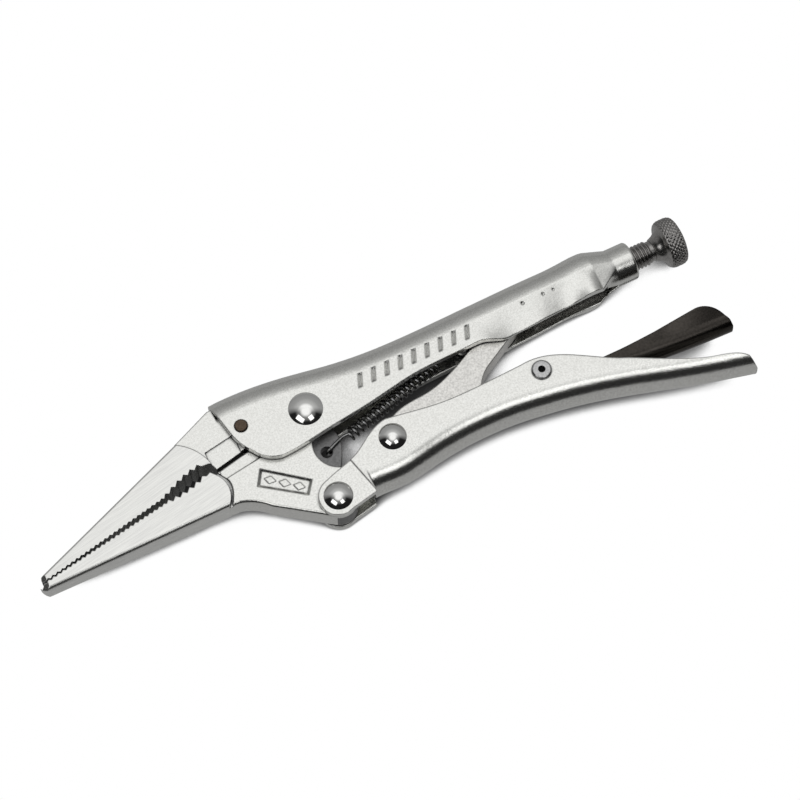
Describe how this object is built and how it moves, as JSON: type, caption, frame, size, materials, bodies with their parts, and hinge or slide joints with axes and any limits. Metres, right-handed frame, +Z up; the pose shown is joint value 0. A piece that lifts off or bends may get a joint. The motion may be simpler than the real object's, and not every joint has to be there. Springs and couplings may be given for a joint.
{
  "type": "locking pliers",
  "caption": "Long-nose locking pliers with serrated tapered jaws, an over-centre toggle, a release lever and a knurled adjusting screw.",
  "frame": {"origin": "bottom centre of the bounding box, under the tool as it lies on its side", "axes": "+X along the adjusting screw from the nose to the knob, +Y from the swinging handle to the fixed handle, +Z up, along the pivots"},
  "size_m": [0.229, 0.0638, 0.019],
  "materials": {
    "satin_nickel": "satin nickel plate over pressed and forged steel",
    "ground_nickel": "forged steel, nickel plated, flats ground lengthwise",
    "bright_rivet": "bright polished",
    "pin_steel": "dark peened pin end",
    "link_steel": "satin nickel plate",
    "dark_lever": "black oxide, satin",
    "gunmetal": "dark zinc plate, turned",
    "spring_steel": "black oiled spring wire",
    "hollow_rivet": "grey rolled rivet"
  },
  "bodies": {
    "frame": {"fixed_handle": "satin_nickel", "upper_jaw": "ground_nickel", "jaw_retaining_pin": "pin_steel", "main_pivot_rivet": "bright_rivet", "jaw_spring": "spring_steel"},
    "jaw": {"lower_jaw": "ground_nickel"},
    "handle": {"lower_handle": "satin_nickel", "handle_pivot_rivet": "bright_rivet", "link_rivet": "bright_rivet", "release_lever_rivet": "hollow_rivet"},
    "link": {"toggle_link": "link_steel"},
    "lever": {"release_lever": "dark_lever"},
    "screw_slide": {"screw_stop_ring": "spring_steel"},
    "screw": {"adjusting_screw": "gunmetal", "adjusting_knob": "gunmetal"}
  },
  "joints": [
    {"name": "jaw_pivot", "type": "hinge", "parent": "frame", "child": "jaw", "pos_m": [-0.0186, 0.01571, 0.0095], "axis": [0, 0, 1], "range_deg": [0, 28], "deforming": ["jaw_spring"]},
    {"name": "handle_pivot", "type": "hinge", "parent": "jaw", "child": "handle", "pos_m": [-0.0216, -0.01409, 0.0095], "axis": [0, 0, 1], "range_deg": [-80, 0]},
    {"name": "link_pivot", "type": "hinge", "parent": "handle", "child": "link", "pos_m": [0.0015, -0.00409, 0.0095], "axis": [0, 0, 1], "range_deg": [0, 82.5]},
    {"name": "release_lever_pivot", "type": "hinge", "parent": "handle", "child": "lever", "pos_m": [0.0524, -0.00454, 0.0095], "axis": [0, 0, 1], "range_deg": [-8, 0]},
    {"name": "screw_travel", "type": "slide", "parent": "frame", "child": "screw_slide", "axis": [1, 0, 0], "range_m": [0, 0.0103]},
    {"name": "screw_turn", "type": "hinge", "parent": "screw_slide", "child": "screw", "pos_m": [0.0814, 0.01911, 0.0095], "axis": [1, 0, 0], "range_deg": [0, 2880]}
  ],
  "couplings": [
    {"joint": "handle_pivot", "follows": "jaw_pivot", "ratio": -2.84},
    {"joint": "link_pivot", "follows": "jaw_pivot", "ratio": 2.93},
    {"joint": "screw_travel", "follows": "screw_turn", "m_per_rad": 0.00019894}
  ]
}
